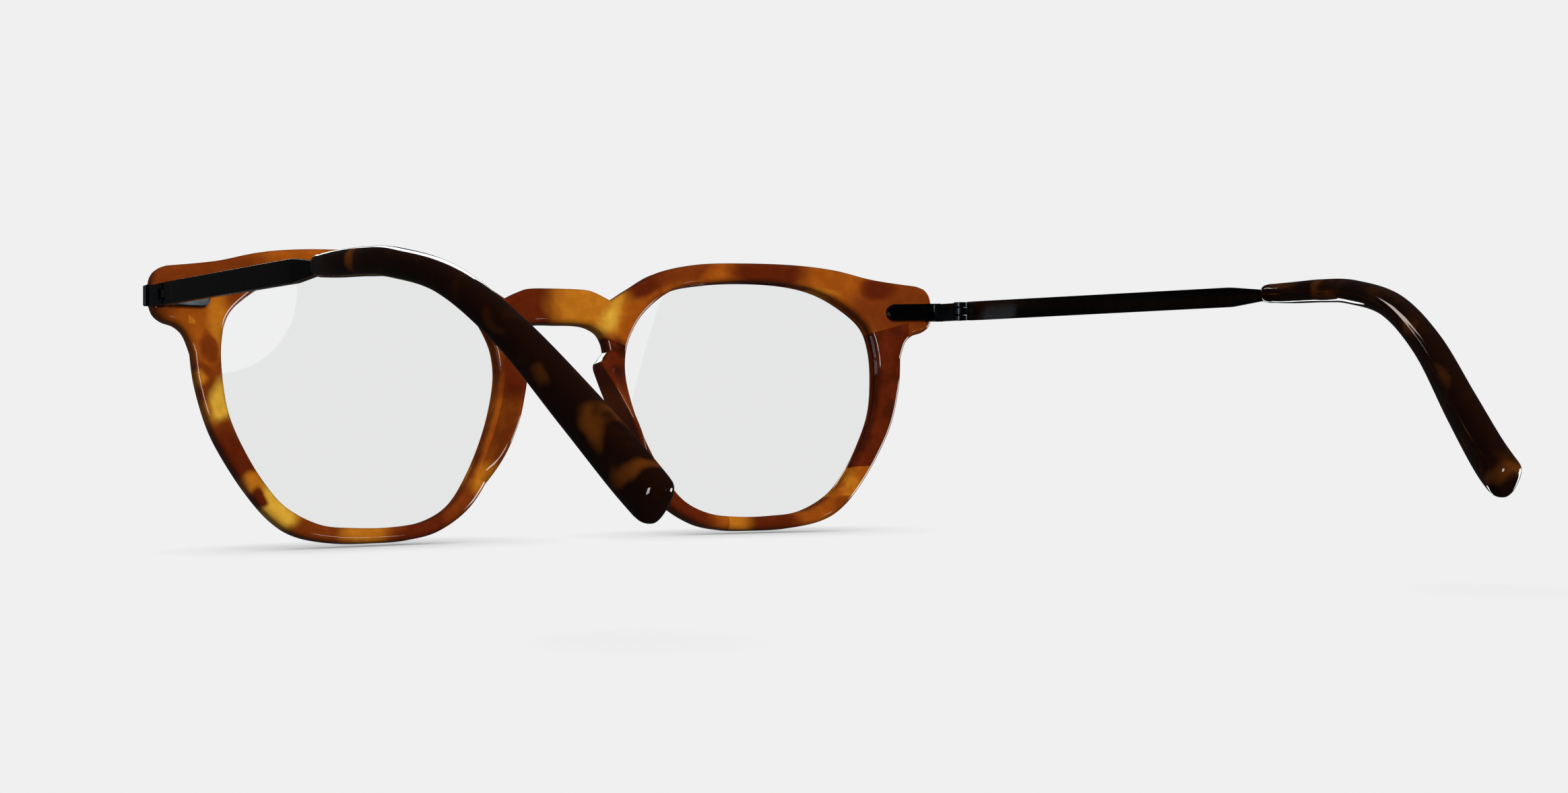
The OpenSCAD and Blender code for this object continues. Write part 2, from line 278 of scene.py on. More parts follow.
def inset_rings(line, normals, radius, closed, other, other_closed):
    """Points at growing distances in from a line, where they are clear of both lines."""
    kept = []
    for angle in ROUNDING_ANGLES:
        inset = radius * (1 - math.cos(math.radians(angle)))
        ring = line + inset * normals
        own = distance_to(line, ring, closed)
        far = distance_to(other, ring, other_closed)
        kept.append(ring[(own > inset - RING_SLACK) & (far > OPENING_ROUND + RING_CLEARANCE)])
    return np.vstack(kept)


def fan_at_notch():
    """Points round the sharp notch beside the bridge, where rings leave a gap."""
    notch = np.array(BROW[0], float)
    out = []
    for angle in ROUNDING_ANGLES:
        inset = OUTER_ROUND * (1 - math.cos(math.radians(angle)))
        for turn in NOTCH_FAN:
            a = math.radians(turn)
            out.append(notch + inset * np.array([math.cos(a), math.sin(a)]))
    return np.array(out)


def front_half_plane():
    """A fine triangulation of the half front: its points, triangles, and the two edges' point numbers."""
    outline_n = normals_of(half_outline, False)
    opening_n = -normals_of(opening, True)
    rings = [
        inset_rings(half_outline, outline_n, OUTER_ROUND, False, opening, True),
        inset_rings(opening, opening_n, OPENING_ROUND, True, half_outline, False),
    ]
    rows = np.arange(-GRID_HALF_HEIGHT, GRID_HALF_HEIGHT, GRID_SPACING * GRID_ROW)
    grid = np.array([
        (x + (row % 2) * GRID_SPACING / 2, up)
        for row, up in enumerate(rows)
        for x in np.arange(0, GRID_WIDTH, GRID_SPACING)
    ])
    clear = (distance_to(half_outline, grid, False) > OUTER_ROUND + GRID_CLEARANCE) & (
        distance_to(opening, grid, True) > OPENING_ROUND + GRID_CLEARANCE
    )
    grid = grid[clear & inside(half_outline, grid) & ~inside(opening, grid)]
    seam_low = half_outline[-1, 1] + OUTER_ROUND
    seam_high = half_outline[0, 1] - OUTER_ROUND
    seam = np.array([(0, up) for up in np.linspace(seam_low, seam_high, 7)])
    loose = np.vstack([*rings, fan_at_notch(), grid, seam])
    loose = loose[loose[:, 0] >= -1e-6]
    loose[:, 0] = np.where(loose[:, 0] < SEAM_SNAP, 0, loose[:, 0])
    points = np.vstack([half_outline, opening, loose])
    n, m = len(half_outline), len(opening)
    edges = [(i, i + 1) for i in range(n - 1)]
    edges += [(n + i, n + (i + 1) % m) for i in range(m)]
    made = delaunay_2d_cdt([Vector(p) for p in points], edges, [], 0, 1e-5)
    plane = np.array([tuple(v) for v in made[0]])
    triangles = np.array(made[2])
    middles = plane[triangles].mean(1)
    keep = inside(half_outline, middles) & ~inside(opening, middles)
    number = {}
    for new, olds in enumerate(made[3]):
        for old in olds:
            number[old] = new
    return plane, triangles[keep], [number[i] for i in range(n)], [number[n + i] for i in range(m)]


def lens_depth(x, up, forward):
    """How deep a lens's face is in the front, forward of the lens's mid-thickness by a distance."""
    bulge = (sag(LENS_HALF_W, LENS_R) - sag(LENS_HALF_W, WRAP_R) + sag(LENS_HALF_H, LENS_R)) / 2
    middle = sag(LENS_CENTRE_X, WRAP_R) - FRONT_T / 2 - GROOVE_FORWARD - bulge
    lean = math.asin(LENS_CENTRE_X / WRAP_R)
    centre_x = LENS_CENTRE_X - LENS_R * math.sin(lean)
    centre_y = middle + LENS_R * math.cos(lean)
    back = centre_y - math.sqrt((LENS_R + forward) ** 2 - (x - centre_x) ** 2 - up**2)
    return math.hypot(WRAP_R - back, x) - WRAP_R


def front_mesh():
    """The front: two faces with rounded edges, the outer wall, and the lens groove in each opening."""
    plane, triangles, outer_ids, opening_ids = front_half_plane()
    to_outer = distance_to(half_outline, plane, False)
    to_opening = distance_to(opening, plane, True)
    behind = np.maximum(rounded(to_outer, OUTER_ROUND), rounded(to_opening, OPENING_ROUND))
    ahead = FRONT_T - np.maximum(rounded(to_outer, FRONT_ROUND), rounded(to_opening, LIP_ROUND))
    count = len(plane)
    points = [on_front(x, up, d) for (x, up), d in zip(plane, behind)]
    points += [on_front(x, up, d) for (x, up), d in zip(plane, ahead)]
    faces = [tuple(int(v) for v in t) for t in triangles]
    faces += [tuple(int(v) + count for v in reversed(t)) for t in triangles]

    def strip(loops, closed):
        n = len(loops[0])
        for first, second in zip(loops, loops[1:]):
            for i in range(n if closed else n - 1):
                j = (i + 1) % n
                faces.append((first[i], first[j], second[j], second[i]))

    def add_loop(line, depths):
        start = len(points)
        points.extend(on_front(x, up, d) for (x, up), d in zip(line, depths))
        return list(range(start, start + len(line)))

    outer_line = plane[outer_ids]
    wall = [outer_ids]
    for share in (0.25, 0.5, 0.75):
        depth = OUTER_ROUND + share * (FRONT_T - FRONT_ROUND - OUTER_ROUND)
        wall.append(add_loop(outer_line, [depth] * len(outer_line)))
    strip([*wall, [i + count for i in outer_ids]], False)

    opening_line = plane[opening_ids]
    deep_line = opening_line + (GROOVE_DEPTH + GROOVE_GAP) * -normals_of(opening_line, True)
    half = LENS_T / 2 + GROOVE_GAP
    rear = [lens_depth(x, up, -half) for x, up in opening_line]
    fore = [lens_depth(x, up, half) for x, up in opening_line]
    strip([
        opening_ids,
        add_loop(opening_line, rear),
        add_loop(deep_line, rear),
        add_loop(deep_line, fore),
        add_loop(opening_line, fore),
        [i + count for i in opening_ids],
    ], True)
    total = len(points)
    points += [(-x, y, z) for x, y, z in points]
    faces += [tuple(v + total for v in reversed(f)) for f in faces]
    return points, faces


# A pad's slope from its ridge to the lens: [share of the way across, share of the height]
PAD_SLOPE = (
    (0.1, 0.965), (0.22, 0.88), (0.36, 0.76), (0.5, 0.61),
    (0.64, 0.44), (0.78, 0.26), (0.9, 0.11), (1.0, 0.0),
)


def nose_pad_mesh():
    """A pad's rows from top to bottom: a wall flush with the front, a rounded ridge, a slope to the lens."""
    nose_side_x = 16  # nearer to the middle than this, the outline is the nose's
    keyhole_up = 8.5
    nose = half_outline[(half_outline[:, 0] < nose_side_x) & (half_outline[:, 1] < keyhole_up)]
    nose = nose[np.argsort(nose[:, 1])]
    near = (opening[:, 0] < LENS_CENTRE_X) & (opening[:, 1] > -18) & (opening[:, 1] < 12)
    lens = opening[near]
    lens = lens[np.argsort(lens[:, 1])]
    ridge = np.array(smooth_curve(PAD_RIDGE, 7))
    proud = 0.012  # past the front's own wall, so that the two walls don't coincide
    root = -1.35  # inside the front
    ridge_r = 0.5
    foot = -0.2  # just inside the front's face
    points = []
    for up, height in ridge:
        nose_x = float(np.interp(up, nose[:, 1], nose[:, 0])) - proud
        lens_x = float(np.interp(up, lens[:, 1], lens[:, 0])) - OPENING_ROUND + 0.05
        across = lens_x - nose_x - ridge_r
        section = [(nose_x + 0.6, root), (nose_x + 0.02, root)]
        top = height - ridge_r
        section += [(nose_x, root + (top - root) * s) for s in (0.1, 0.3, 0.5, 0.7, 0.88)]
        for angle in range(0, 91, 15):
            a = math.radians(angle)
            section.append((nose_x + ridge_r * (1 - math.cos(a)), top + ridge_r * math.sin(a)))
        for share, tall in PAD_SLOPE:
            section.append((nose_x + ridge_r + share * across, foot + (height - foot) * tall))
        section.append((lens_x, root))
        points += [on_front(x, up, -rise) for x, rise in section]
    return points, tube_faces(len(ridge), len(section))


# Rings of a lens's grid, from its edge to its middle, as shares of the way out
LENS_RINGS = (1, 0.985, 0.95, 0.88, 0.78, 0.66, 0.53, 0.4, 0.27, 0.14, 0.05)


def lens_mesh():
    """A meniscus: two spherical faces on one polar grid, joined by the edge."""
    rim = np.array(smooth_curve(LENS_OPENING, 8, closed=True))
    rim = rim - GROOVE_DEPTH * normals_of(rim, True)
    middle = np.array([LENS_CENTRE_X, 0])
    around = len(rim)
    points = []
    for forward, order in ((LENS_T / 2, reversed(LENS_RINGS)), (-LENS_T / 2, LENS_RINGS)):
        for share in order:
            for x, up in middle + share * (rim - middle):
                points.append(on_front(x, up, lens_depth(x, up, forward)))
    return points, tube_faces(2 * len(LENS_RINGS), around)


# ---------------------------------------------------------------- hinge, arm and tip
def prism(outline, low, high, chamfer):
    """An outline seen from above made solid between two heights, with chamfered top and bottom edges."""
    line = np.array(outline, float)
    inner = line + chamfer * inward(line)
    levels = [(inner, low), (line, low + chamfer), (line, high - chamfer), (inner, high)]
    points = [(x, y, z) for ring, z in levels for x, y in ring]
    return points, tube_faces(4, len(line))


def inward(line):
    """The mitred inward direction at each corner of a closed outline that runs anticlockwise."""
    before = line - np.roll(line, 1, 0)
    after = np.roll(line, -1, 0) - line
    before /= np.linalg.norm(before, axis=1)[:, None]
    after /= np.linalg.norm(after, axis=1)[:, None]
    along = before + after
    mitre = np.column_stack([-along[:, 1], along[:, 0]])
    scale = np.maximum((mitre * mitre).sum(1) / 2, 0.5)
    return mitre / scale[:, None]


def arc(centre, radius, start, stop, steps):
    """Points along an arc seen from above, angles in degrees."""
    angles = np.radians(np.linspace(start, stop, steps + 1))
    return [(centre[0] + radius * math.cos(a), centre[1] + radius * math.sin(a)) for a in angles]


def joined(*solids):
    """Several closed meshes as one."""
    points, faces = [], []
    for some_points, some_faces in solids:
        start = len(points)
        points += some_points
        faces += [tuple(v + start for v in f) for f in some_faces]
    return points, faces


def plate_mesh():
    """The riveted plate, with a round inner end and softened edges, along the wrapped back face."""
    radius = PLATE_H / 2
    plate_up = (HINGE_UP - sag(PLATE_MIDDLE_X, WRAP_R) * math.sin(TILT)) / math.cos(TILT)
    centre = PLATE_INNER_X + radius
    outline = arc((centre, 0), radius, 90, 270, 20)
    straight = np.linspace(centre, PLATE_OUTER_X - 0.5, 12)[1:]
    outline += [(x, -radius) for x in straight] + [(x, radius) for x in reversed(straight)]
    line = np.array(outline)
    soft = 0.22
    levels = [(0, -PLATE_SUNK), (0, PLATE_T - soft)]
    for angle in (25, 50, 75, 90):
        a = math.radians(angle)
        levels.append((soft * (1 - math.cos(a)), PLATE_T - soft + soft * math.sin(a)))
    points = []
    for inset, rise in levels:
        ring = line + inset * inward(line)
        points += [on_front(x, plate_up + up, -rise) for x, up in ring]
    return points, tube_faces(len(levels), len(line))


def leg_mesh():
    """The plate's bent end and the leg that carries the outer knuckles, seen from above."""
    inner_x = LEG_OUTER_X - ARM_T
    rear = HINGE_Y - SHOULDER
    seat = on_front(LEG_ROOT_X, HINGE_UP, 0)[1] - PLATE_SUNK
    plate_back = on_front(LEG_ROOT_X + 0.5, HINGE_UP, -PLATE_T)[1] - 0.02
    fillet = 0.7
    front_corner = 0.55
    rear_corner = 0.25
    lip = LEG_FRONT + 0.75
    outline = [(LEG_ROOT_X, seat), (PLATE_OUTER_X - 0.45, seat + 0.35)]
    outline += arc((PLATE_OUTER_X - front_corner, seat + 0.95), front_corner, -60, 0, 4)
    outline += [(PLATE_OUTER_X, lip)]
    outline += arc((PLATE_OUTER_X - rear_corner, lip), rear_corner, 20, 90, 3)
    groove_x = LEG_OUTER_X - BEND_GROOVE
    outline += [(groove_x, LEG_FRONT + 1.0), (groove_x, LEG_FRONT + 1.35)]
    outline += [(LEG_OUTER_X, LEG_FRONT + 1.5), (LEG_OUTER_X, rear), (inner_x, rear)]
    outline += [(inner_x, plate_back + fillet + 0.3)]
    outline += arc((inner_x - fillet, plate_back + fillet), fillet, 0, -90, 6)
    outline += [(LEG_ROOT_X, plate_back - PLATE_SUNK)]
    half = BARREL_H / 2 - 0.05  # a hair lower than the knuckles
    return prism(outline, HINGE_Z - half, HINGE_Z + half, 0.12)


def knuckle_mesh(low, high, toward):
    """A barrel with the web that joins it to its strip, in front of it (-1) or behind it (1)."""
    r = BARREL_D / 2
    inner_x = LEG_OUTER_X - ARM_T
    end = HINGE_Y + toward * (SHOULDER + 0.1)
    if toward < 0:
        outline = arc((HINGE_X, HINGE_Y), r, 0, 270, 24)
        outline += [(inner_x, end), (LEG_OUTER_X, end)]
    else:
        outline = arc((HINGE_X, HINGE_Y), r, 90, 360, 24)
        outline += [(LEG_OUTER_X, end), (inner_x, end)]
    return prism(outline, HINGE_Z + low, HINGE_Z + high, 0.1)


def bracket_mesh():
    """The plate, its leg, and the upper and lower knuckles."""
    ear = KNUCKLE_H / 2 + KNUCKLE_GAP
    return joined(
        plate_mesh(), leg_mesh(),
        knuckle_mesh(ear, BARREL_H / 2, -1), knuckle_mesh(-BARREL_H / 2, -ear, -1),
    )


def soft_rectangle(half_w, half_h, radius):
    """A rounded rectangle as points round a ring: [across, up]."""
    out = []
    steps = 4
    for corner, (cx, cy) in enumerate(((1, 1), (-1, 1), (-1, -1), (1, -1))):
        for step in range(steps + 1):
            a = math.radians(90 * (corner + step / steps))
            out.append((cx * (half_w - radius) + radius * math.cos(a),
                        cy * (half_h - radius) + radius * math.sin(a)))
    return out


tip_curve = np.array(smooth_curve(TIP_LINE, 12))
tip_path = tip_curve[:, :3] + (HINGE_X, HINGE_Y + TIP_BACK, HINGE_Z)


def tip_frame(i):
    """Where the tip's path is and the directions across it, at one of its points."""
    along = tip_path[min(i + 1, len(tip_path) - 1)] - tip_path[max(i - 1, 0)]
    along /= np.linalg.norm(along)
    across = np.array([along[1], -along[0], 0])
    across /= np.linalg.norm(across)
    return tip_path[i], across, np.cross(across, along), along


def arm_mesh():
    """The flat arm, its taper, the core in the tip, and the middle knuckle."""
    x_front = LEG_OUTER_X - ARM_T / 2
    x_rear = HINGE_X + TAPER_SIDE
    x_tip, y_tip, z_tip = tip_path[0]
    front_y = HINGE_Y + SHOULDER
    taper_y = HINGE_Y + TAPER_BACK
    soft = 0.16
    stations = []
    for share in np.linspace(0, 1, 12):  # as far as the taper, less a soft step
        y = front_y + share * (taper_y - 0.4 - front_y)
        x = x_front + share * (x_rear - x_front)
        z = HINGE_Z - share * CORE_DROP / 2
        stations.append((x, y, z, ARM_H + share * (ARM_REAR_H - ARM_H)))
    for share in TAPER_SHARES:
        x = x_rear + share * (x_tip - x_rear)
        y = taper_y + share * (y_tip - taper_y)
        z = HINGE_Z - CORE_DROP * (0.5 + 0.5 * share) + share * (z_tip - HINGE_Z)
        stations.append((x, y, z, ARM_REAR_H + share * (CORE_H - ARM_REAR_H)))
    points = []
    first = stations[0]
    for inset, ahead in ((soft, 0), (soft * 0.3, soft * 0.3), (0, soft)):
        ring = soft_rectangle(ARM_T / 2 - inset, first[3] / 2 - inset, soft)
        points += [(first[0] + a, first[1] + ahead, first[2] + b) for a, b in ring]
    for x, y, z, height in stations[1:]:
        points += [(x + a, y, z + b) for a, b in soft_rectangle(ARM_T / 2, height / 2, soft)]
    core_end = int(len(tip_path) * CORE_SHARE)
    for i in range(1, core_end):
        place, across, upwards, _ = tip_frame(i)
        for a, b in soft_rectangle(ARM_T / 2, CORE_H / 2, soft):
            points.append(tuple(place - (0, 0, CORE_DROP) + across * a + upwards * b))
    return joined(
        (points, tube_faces(len(points) // len(ring), len(ring))),
        knuckle_mesh(-KNUCKLE_H / 2, KNUCKLE_H / 2, 1),
    )


# The front of a tip: [distance back, how far the ring is drawn in]
TIP_FRONT_ROUND = ((0.0, 0.62), (0.05, 0.38), (0.2, 0.18), (0.45, 0.07), (0.8, 0.03))
# The rounding of a tip's end, sideways and up
TIP_END_ROUND = 1.4
TIP_END_ROUND_UP = 0.8
TIP_END_ANGLES = (0, 12, 24, 36, 48, 60, 70, 80, 90)
# The least distance from the rings of a rounding to the next ring
RING_GAP = 0.1
# The shallow groove that marks the collar
COLLAR_BACK = 2.3
COLLAR_DEPTH = 0.07
COLLAR_WIDTH = 0.22


def tip_mesh():
    """The acetate tip: an oval with flattened sides, a shallow collar at the front and a soft cut end."""
    around = 48
    flatness = 0.78
    points = []

    def flattened(v):
        return math.copysign(abs(v) ** flatness, v)

    def width(back):
        """The tip's thickness, which reaches its full size 9 mm behind the front end."""
        return TIP_T * (TIP_FRONT_SHARE + (1 - TIP_FRONT_SHARE) * smoothstep(-1, 9, back))

    def ring(place, across, upwards, wide, tall, shrink, tall_shrink=None):
        half_wide = wide / 2 - shrink
        half_tall = tall / 2 - (shrink if tall_shrink is None else tall_shrink)
        for k in range(around):
            a = 2 * math.pi * k / around
            c, s = flattened(math.cos(a)), flattened(math.sin(a))
            points.append(tuple(place + across * c * half_wide + upwards * s * half_tall))

    place, across, upwards, along = tip_frame(0)
    front_tall = TIP_LINE[0][3]
    for ahead, shrink in TIP_FRONT_ROUND:
        ring(place + along * ahead, across, upwards, width(ahead), front_tall + 0.06 * ahead, shrink)
    for i in range(1, len(tip_path) - 1):
        place, across, upwards, along = tip_frame(i)
        back = tip_curve[i, 1]
        to_end = np.linalg.norm(tip_path[-1] - place)
        if back < TIP_FRONT_ROUND[-1][0] + RING_GAP or to_end < TIP_END_ROUND + RING_GAP:
            continue
        groove = COLLAR_DEPTH * math.exp(-((back - COLLAR_BACK) / COLLAR_WIDTH) ** 2)
        ring(place, across, upwards, width(back), tip_curve[i, 3], groove)
    place, across, upwards, along = tip_frame(len(tip_path) - 1)
    tall = TIP_LINE[-1][3]
    for angle in TIP_END_ANGLES:
        a = math.radians(angle)
        curve = 1 - math.cos(a)
        centre = place - along * TIP_END_ROUND * (1 - math.sin(a))
        ring(centre, across, upwards, TIP_T, tall, TIP_END_ROUND * curve, TIP_END_ROUND_UP * curve)
    return points, tube_faces(len(points) // around, around)


# ---------------------------------------------------------------- materials
class Nodes:
    """A material's node tree, built a node at a time."""

    def __init__(self, name):
        self.material = bpy.data.materials.new(name)
        self.material.use_nodes = True
        self.tree = self.material.node_tree
        self.shader = self.tree.nodes["Principled BSDF"]

    @classmethod
    def of_tree(cls, tree):
        """The same helpers for a tree that is no material's."""
        nodes = cls.__new__(cls)
        nodes.tree = tree
        return nodes

    def add(self, kind, links=None, **settings):
        """A new node with links from {input: source socket} and its own settings."""
        node = self.tree.nodes.new("ShaderNode" + kind)
        for key, value in settings.items():
            setattr(node, key, value)
        for socket, source in (links or {}).items():
            self.tree.links.new(source, node.inputs[socket])
        return node

    def math(self, operation, *terms):
        """The result of a Math node; each term is a number or a socket."""
        node = self.add("Math", operation=operation)
        for i, value in enumerate(terms):
            if isinstance(value, (int, float)):
                node.inputs[i].default_value = value
            else:
                self.tree.links.new(value, node.inputs[i])
        return node.outputs[0]

    def blend(self, factor, a, b, how="MIX"):
        """Colour a where the factor is 0 and b mixed in where it is 1; each may be a socket."""
        node = self.add("Mix", data_type="RGBA", clamp_factor=True, blend_type=how)
        for slot, value in ((0, factor), (6, a), (7, b)):
            if isinstance(value, bpy.types.NodeSocket):
                self.tree.links.new(value, node.inputs[slot])
            elif slot == 0:
                node.inputs[slot].default_value = value
            else:
                node.inputs[slot].default_value = (*value, 1)
        return node.outputs[2]

    def noise(self, vector, scale, detail=2.0, roughness=0.5):
        """A noise texture node."""
        node = self.add("TexNoise", {"Vector": vector}, noise_dimensions="3D")
        node.inputs["Scale"].default_value = scale
        node.inputs["Detail"].default_value = detail
        node.inputs["Roughness"].default_value = roughness
        return node

    def ramp(self, factor, low, high):
        """0 below low, 1 above high, smooth between."""
        node = self.add("MapRange", {"Value": factor}, interpolation_type="SMOOTHSTEP")
        node.inputs["From Min"].default_value = low
        node.inputs["From Max"].default_value = high
        return node.outputs[0]

    def placed(self, vector, place, size, turn=(0, 0, 0)):
        """Coordinates measured from a place, in units of size, after a turn."""
        node = self.add("Mapping", {"Vector": vector}, vector_type="TEXTURE")
        node.inputs["Location"].default_value = place
        node.inputs["Rotation"].default_value = turn
        node.inputs["Scale"].default_value = size
        return node.outputs[0]

    def warped(self, vector, scale, reach):
        """Coordinates pushed about by noise, by up to half the reach each way."""
        push = self.noise(vector, scale, 2).outputs["Color"]
        shift = self.add("VectorMath", {0: push}, operation="MULTIPLY_ADD")
        shift.inputs[1].default_value = (reach, reach, reach)
        shift.inputs[2].default_value = (-reach / 2, -reach / 2, -reach / 2)
        return self.add("VectorMath", {0: vector, 1: shift.outputs[0]}, operation="ADD").outputs[0]

    def patch(self, vector, place, size, turn, soft):
        """1 inside an ellipse that runs right through the piece, 0 outside it."""
        through = 400
        middle = (place[0], 0, place[1])
        local = self.placed(vector, middle, (size[0], through, size[1]), (0, -math.radians(turn), 0))
        reach = self.add("VectorMath", {0: local}, operation="LENGTH").outputs["Value"]
        return self.ramp(reach, 1 + soft, 1 - soft)

    def bump(self, height, strength, distance):
        """Raises the shader's surface by a height, without moving the mesh."""
        node = self.add("Bump", {"Height": height})
        node.inputs["Strength"].default_value = strength
        node.inputs["Distance"].default_value = distance
        self.tree.links.new(node.outputs[0], self.shader.inputs["Normal"])

    def set(self, **values):
        """Sets inputs of the shader, with _ for each space in their names."""
        for key, value in values.items():
            self.shader.inputs[key.replace("_", " ")].default_value = value

    def link(self, socket, source):
        """Feeds an input of the shader."""
        self.tree.links.new(source, self.shader.inputs[socket])


BLACK_BROWN = (0.022, 0.0035, 0.0012)
DEEP_RED = (0.045, 0.006, 0.001)
DARK_RED = (0.075, 0.0095, 0.0014)
BROWN = (0.125, 0.022, 0.0022)
ORANGE = (0.235, 0.053, 0.003)
AMBER = (0.335, 0.108, 0.006)
YELLOW = (0.47, 0.255, 0.024)
TIP_BLACK = (0.0055, 0.0012, 0.0003)
TIP_BROWN = (0.020, 0.0052, 0.0005)
TIP_AMBER = (0.13, 0.034, 0.003)
BLACK_METAL = (0.024, 0.029, 0.033)
SCREW_STEEL = (0.05, 0.055, 0.06)
LENS_TINT = (0.975, 0.985, 0.98)
LENS_SHADOW = (0.96, 0.97, 0.965)

# Noise scales are cycles per metre where the coordinates are the object's own.
POLISH_SCALE = 900
WAVE_SCALE = 260

# Patches of the front's acetate, one of them a painted highlight: colour, [sideways, up], [half width, half
# height], turn, softness.
# Later ones lie over earlier ones. Plus is the wearer's left.
SOFT_PATCHES = [
    (BROWN, (58, 17), (16, 5), -8, 0.5),
    (ORANGE, (44, 22), (7, 3), 0, 0.5),
    (ORANGE, (60, 9.5), (5.5, 5), 0, 0.4),
    (AMBER, (57.8, 11), (1.6, 4), 0, 0.6),
    (BROWN, (59.3, 6.6), (1.7, 1.9), 0, 0.3),
    (BROWN, (59.8, 2.6), (2.2, 1.3), 30, 0.3),
    (YELLOW, (57.8, -1.2), (1.6, 3.4), 8, 0.4),
    (AMBER, (61.2, 1.8), (1.1, 1.4), 0, 0.4),
    (AMBER, (60.6, -2.2), (1.2, 0.9), 0, 0.4),
    (BROWN, (57, -6.5), (2.5, 2.6), 0, 0.4),
    (DARK_RED, (55, -10.5), (6, 2.8), 55, 0.4),
    (YELLOW, (49.5, -17), (2.2, 4.6), -45, 0.4),
    (AMBER, (52.8, -14), (1.3, 2.0), -40, 0.5),
    (DARK_RED, (52.1, -15.6), (1.0, 1.6), -40, 0.4),
    (BROWN, (41.5, -21.4), (6.5, 2.6), 0, 0.3),
    (AMBER, (35.5, -21.4), (3.6, 3), 0, 0.45),
    (DARK_RED, (25, -20.8), (7, 3), -12, 0.4),
    (BROWN, (18.5, -17), (4, 2.6), -45, 0.4),
    (AMBER, (15.2, -13), (1.6, 2.6), 35, 0.5),
    (BROWN, (11.6, -7), (1.6, 5), 24, 0.6),
    (DARK_RED, (8.6, 3), (3, 5), 0, 0.5),
    (BROWN, (15, 17.5), (5, 3), 0, 0.5),
    (DARK_RED, (5, 14.5), (6, 6), 0, 0.35),
    (AMBER, (-6, 15), (7.5, 5.5), 0, 0.35),
    (YELLOW, (-8.8, 13.2), (1.2, 3.0), 32, 0.85),
    (ORANGE, (-13, 12.5), (2.2, 3.6), 20, 0.5),
    (DARK_RED, (-16.2, 19.2), (5.0, 2.0), -34, 0.4),
    (BROWN, (-23, 21), (5, 2.2), -12, 0.4),
    (ORANGE, (-28, 20.6), (1.8, 0.8), 0, 0.8),
    (DARK_RED, (-38.5, 21.2), (7.5, 2.4), 0, 0.35),
    (ORANGE, (-50.5, 18.6), (6.0, 2.8), 22, 0.45),
    # Painted highlight: a thin lighter amber streak along the top edge of the lens opening, at the wearer's
    # right
    (AMBER, (-48, 17.9), (2.4, 0.6), 24, 0.7),
    (BROWN, (-61, 15), (8, 6), 0, 0.3),
    (DARK_RED, (-58, 18.2), (3.2, 1.7), 8, 0.35),
    (BROWN, (-63.5, 16.8), (3, 1.6), 0, 0.5),
    (DARK_RED, (-8.5, 3), (3.4, 6), 0, 0.4),
    (BLACK_BROWN, (-10, 6), (2.2, 2.6), 0, 0.7),
    (BROWN, (-9.5, -2.5), (2.6, 4), -20, 0.6),
    (DARK_RED, (-12.5, -9), (3, 6), -26, 0.5),
    (DARK_RED, (-20, -18.5), (6, 3.4), 30, 0.4),
    (DARK_RED, (-56.5, -7), (3.4, 6.5), 26, 0.35),
    (DARK_RED, (-34.5, -21.6), (5.8, 3), 0, 0.3),
]


def acetate_base(nodes):
    """Polished acetate: a clear glossy coat, and a very slight unevenness from tumbling."""
    nodes.set(IOR=1.47, Coat_Weight=0.25, Coat_Roughness=0.02, Coat_IOR=1.5)
    place = nodes.add("TexCoord").outputs["Object"]
    uneven = nodes.noise(place, POLISH_SCALE, 3).outputs["Fac"]
    nodes.link("Roughness", nodes.math("MULTIPLY_ADD", uneven, 0.03, 0.03))
    wave = nodes.noise(place, WAVE_SCALE, 1).outputs["Fac"]
    nodes.bump(wave, 0.06, 0.0004)
    return place


def tortoise_material():
    """Honey tortoise: soft patches over cloudy orange, one of them a painted highlight, then the
    straight-cut ones.
    """
    nodes = Nodes("honey_tortoise_acetate")
    place = acetate_base(nodes)
    flat = nodes.placed(place, (0, BRIDGE_Y * MM, EYE_LEVEL * MM), (MM, MM, MM), (TILT, 0, 0))
    warped = nodes.warped(flat, 0.22, 2.6)
    clouds = nodes.noise(flat, 0.13, 3, 0.55).outputs["Fac"]
    colour = nodes.blend(nodes.ramp(clouds, 0.38, 0.62), BROWN, ORANGE)
    for tint, where, size, turn, soft in SOFT_PATCHES:
        colour = nodes.blend(nodes.patch(warped, where, size, turn, soft), colour, tint)
    for tint, mask in hard_patches(nodes, flat):
        colour = nodes.blend(mask, colour, tint)
    fine = nodes.noise(flat, 0.55, 3, 0.6).outputs["Fac"]
    mottle = nodes.blend(nodes.ramp(fine, 0.35, 0.8), (0.88, 0.85, 0.82), (1.12, 1.15, 1.2))
    nodes.link("Base Color", nodes.blend(1.0, colour, mottle, "MULTIPLY"))
    return nodes.material


